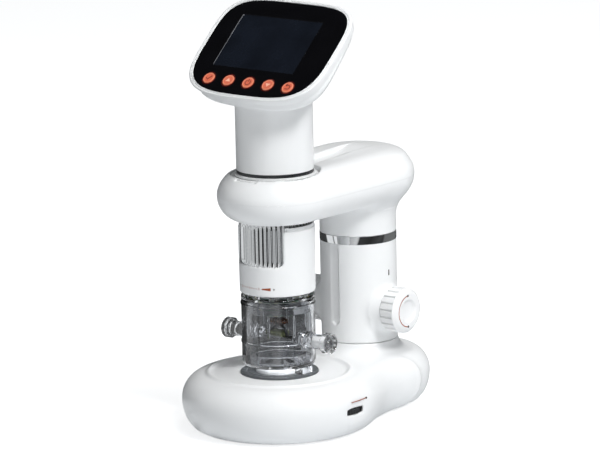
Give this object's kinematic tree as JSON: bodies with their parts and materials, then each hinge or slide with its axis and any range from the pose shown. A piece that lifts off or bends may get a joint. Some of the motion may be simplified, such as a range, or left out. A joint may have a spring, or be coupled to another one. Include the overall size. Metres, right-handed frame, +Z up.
{
  "type": "kids microscope on a stand",
  "caption": "White kids microscope: tilted screen handset in a rounded arm, lifting column with side knobs, lit round stage and a clear specimen chamber.",
  "frame": {"origin": "on the floor, under the middle of the base", "axes": "+Z up, the screen and the stage face -Y, the column is at +Y, the dimmer slot is at +X"},
  "size_m": [0.115, 0.175, 0.2485],
  "materials": {
    "shell_white": "satin gloss",
    "plate_grey": "matt",
    "rubber": "matt",
    "screw_steel": "satin",
    "steel": "satin",
    "stage_black": "satin",
    "diffuser": "gloss",
    "circuit_board": "satin",
    "led": "gloss",
    "black_plastic": "satin",
    "wheel_grey": "matt",
    "socket_metal": "satin",
    "chrome": "mirror",
    "brass": "satin",
    "knob_white": "satin gloss",
    "collar_white": "satin",
    "lens_glass": "gloss",
    "screen_black": "gloss",
    "lcd": "gloss",
    "battery_wrap": "satin",
    "clear": "clear gloss",
    "olive_pad": "matt",
    "clip_dark": "satin",
    "beetle": "satin",
    "button_orange": "satin"
  },
  "bodies": {
    "stand": {"base_shell": "shell_white", "base_bottom_plate": "plate_grey", "rubber_feet": "rubber", "base_screws": "screw_steel", "base_weight": "steel", "stage_disc": "stage_black", "stage_diffuser": "diffuser", "stage_light_board": "circuit_board", "stage_light_led": "led", "dimmer_board": "circuit_board", "dimmer_control": "black_plastic", "power_socket": "socket_metal", "column_shell": "shell_white", "column_band": "chrome", "column_guide": "black_plastic", "knob_bushes": "brass"},
    "arm": {"arm_upper_shell": "shell_white", "arm_lower_shell": "shell_white", "lift_tube": "steel", "focus_rack": "black_plastic"},
    "height_knobs": {"focus_shaft": "steel", "focus_pinion": "brass", "height_knob_left": "knob_white", "height_knob_right": "knob_white"},
    "collar": {"swivel_collar": "collar_white"},
    "handset": {"neck_ring": "rubber", "inner_barrel": "black_plastic", "lower_shroud": "shell_white", "sensor_board": "circuit_board", "light_ring_board": "circuit_board", "ring_lights": "led", "head_back_shell": "shell_white", "head_bezel": "shell_white", "screen_glass": "screen_black", "lcd_panel": "lcd", "key_board": "circuit_board", "key_switches": "black_plastic", "main_board": "circuit_board", "battery": "battery_wrap", "charging_socket": "socket_metal", "card_socket": "socket_metal", "head_screws": "screw_steel"},
    "focus_grip": {"focus_ring": "chrome"},
    "lens": {"lens_barrel": "black_plastic", "objective_lens": "lens_glass"},
    "chamber": {"chamber_body": "clear", "chamber_lid": "clear", "chamber_foot": "clear"},
    "specimen": {"specimen_knob_left": "clear", "specimen_knob_right": "clear", "specimen_cradle": "clear", "specimen_pad": "olive_pad", "specimen_clip": "clip_dark", "specimen_beetle": "beetle"},
    "dimmer": {"dimmer_wheel": "wheel_grey"},
    "key_confirm": {"button_confirm": "button_orange"},
    "key_up": {"button_up": "button_orange"},
    "key_power": {"button_power": "button_orange"},
    "key_down": {"button_down": "button_orange"},
    "key_mode": {"button_mode": "button_orange"}
  },
  "joints": [
    {"name": "arm_lift", "type": "slide", "parent": "stand", "child": "arm", "axis": [0, 0, 1], "range_m": [0, 0.016]},
    {"name": "height_knob_turn", "type": "hinge", "parent": "stand", "child": "height_knobs", "pos_m": [0, 0.0455, 0.0591], "axis": [1, 0, 0], "range_deg": [0, 135]},
    {"name": "collar_turn", "type": "hinge", "parent": "arm", "child": "collar", "pos_m": [0, -0.03, 0.148], "axis": [0, 0, 1], "continuous": true},
    {"name": "handset_lift", "type": "slide", "parent": "collar", "child": "handset", "axis": [0, 0, 1], "range_m": [0, 0.075]},
    {"name": "focus_ring_turn", "type": "hinge", "parent": "handset", "child": "focus_grip", "pos_m": [0, -0.03, 0.111], "axis": [0, 0, 1], "range_deg": [-120, 120]},
    {"name": "lens_slide", "type": "slide", "parent": "handset", "child": "lens", "axis": [0, 0, 1], "range_m": [-0.0021, 0.0021]},
    {"name": "chamber_slide", "type": "slide", "parent": "stand", "child": "chamber", "axis": [0, -1, 0], "range_m": [0, 0.11]},
    {"name": "specimen_turn", "type": "hinge", "parent": "chamber", "child": "specimen", "pos_m": [0, -0.03, 0.0544], "axis": [1, 0, 0], "continuous": true},
    {"name": "dimmer_turn", "type": "hinge", "parent": "stand", "child": "dimmer", "pos_m": [0.048, -0.03, 0.017], "axis": [0, 0, 1], "range_deg": [-135, 135]},
    {"name": "key_confirm_press", "type": "slide", "parent": "handset", "child": "key_confirm", "axis": [0, 0.6671, -0.745], "range_m": [0, 0.0008], "stiffness_N_per_m": 1000},
    {"name": "key_up_press", "type": "slide", "parent": "handset", "child": "key_up", "axis": [0, 0.6671, -0.745], "range_m": [0, 0.0008], "stiffness_N_per_m": 1000},
    {"name": "key_power_press", "type": "slide", "parent": "handset", "child": "key_power", "axis": [0, 0.6671, -0.745], "range_m": [0, 0.0008], "stiffness_N_per_m": 1000},
    {"name": "key_down_press", "type": "slide", "parent": "handset", "child": "key_down", "axis": [0, 0.6671, -0.745], "range_m": [0, 0.0008], "stiffness_N_per_m": 1000},
    {"name": "key_mode_press", "type": "slide", "parent": "handset", "child": "key_mode", "axis": [0, 0.6671, -0.745], "range_m": [0, 0.0008], "stiffness_N_per_m": 1000}
  ],
  "couplings": [
    {"joint": "height_knob_turn", "follows": "arm_lift", "rad_per_m": 147.06},
    {"joint": "lens_slide", "follows": "focus_ring_turn", "m_per_rad": 0.00095}
  ]
}
